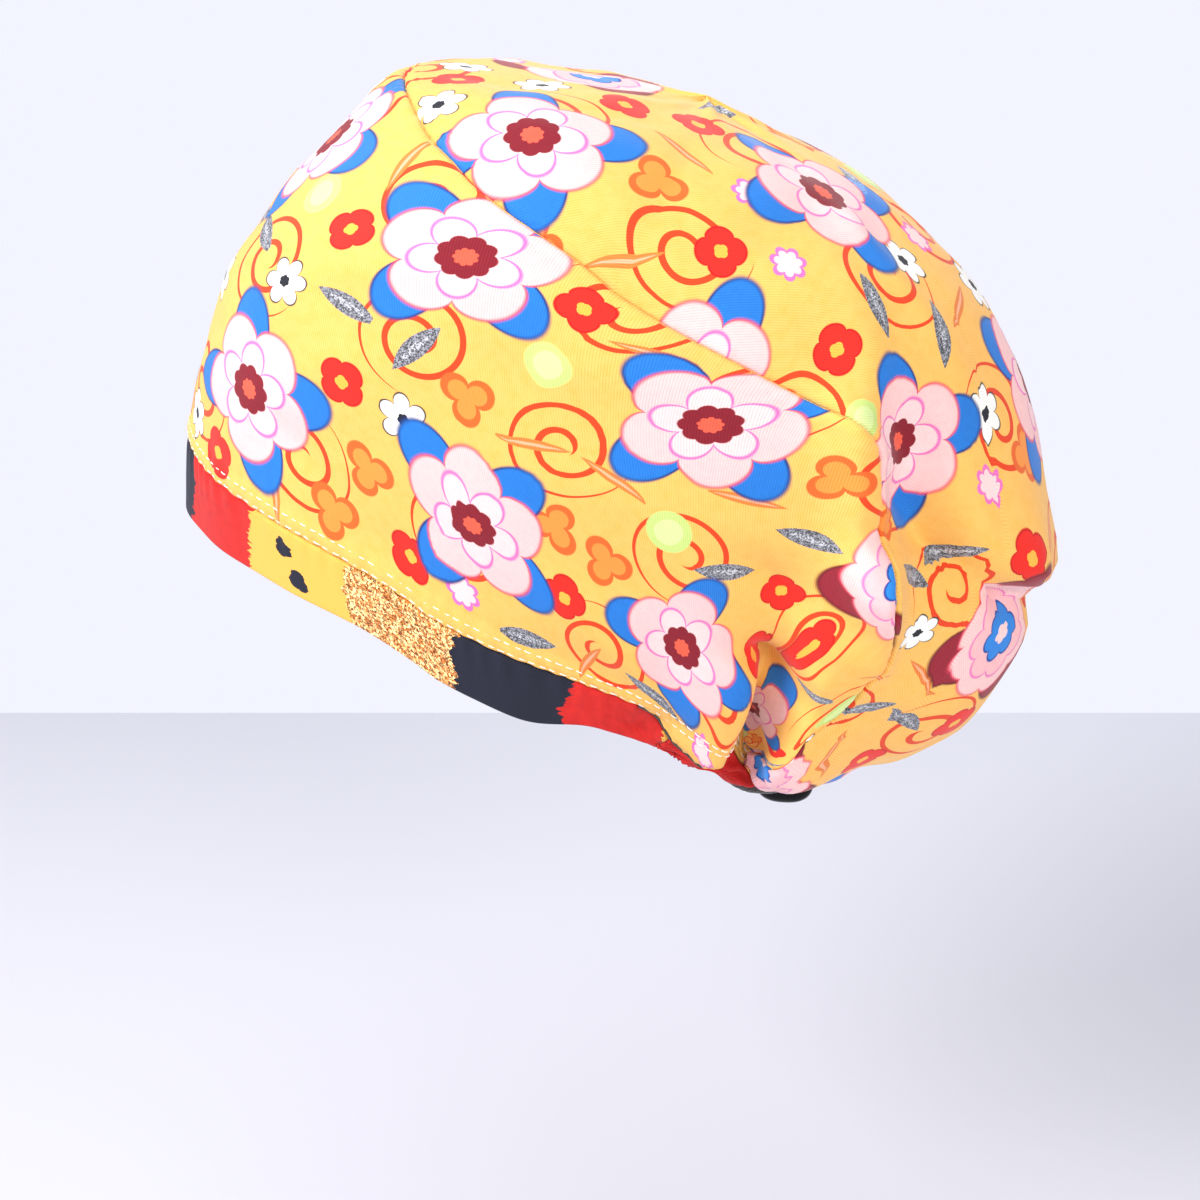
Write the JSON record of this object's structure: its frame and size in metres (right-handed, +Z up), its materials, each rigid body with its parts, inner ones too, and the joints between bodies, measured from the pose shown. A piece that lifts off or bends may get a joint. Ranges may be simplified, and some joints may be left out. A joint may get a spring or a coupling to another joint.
{
  "type": "bouffant scrub cap",
  "caption": "Bouffant scrub cap with a headband, front panel, full gathered crown, nape casing, drawcord and cord lock.",
  "frame": {"origin": "middle of the head opening, level with the opening's edge at the sides, where the cap sits on a head", "axes": "+Z up through the crown, -Y towards the wearer's forehead, +X towards the wearer's left"},
  "size_m": [0.192, 0.2829, 0.2445],
  "materials": {
    "printed_cotton": "woven cotton with a printed floral pattern on warm yellow",
    "contrast_cotton": "woven cotton printed in broad blocks of red, yellow, gold and navy",
    "black_elastic": "braided elastic cord",
    "black_plastic": "glossy black"
  },
  "bodies": {
    "root": {"headband": "contrast_cotton", "back_casing": "contrast_cotton", "front_panel": "printed_cotton", "crown": "printed_cotton", "drawcord": "black_elastic", "cord_lock": "black_plastic"}
  },
  "joints": []
}
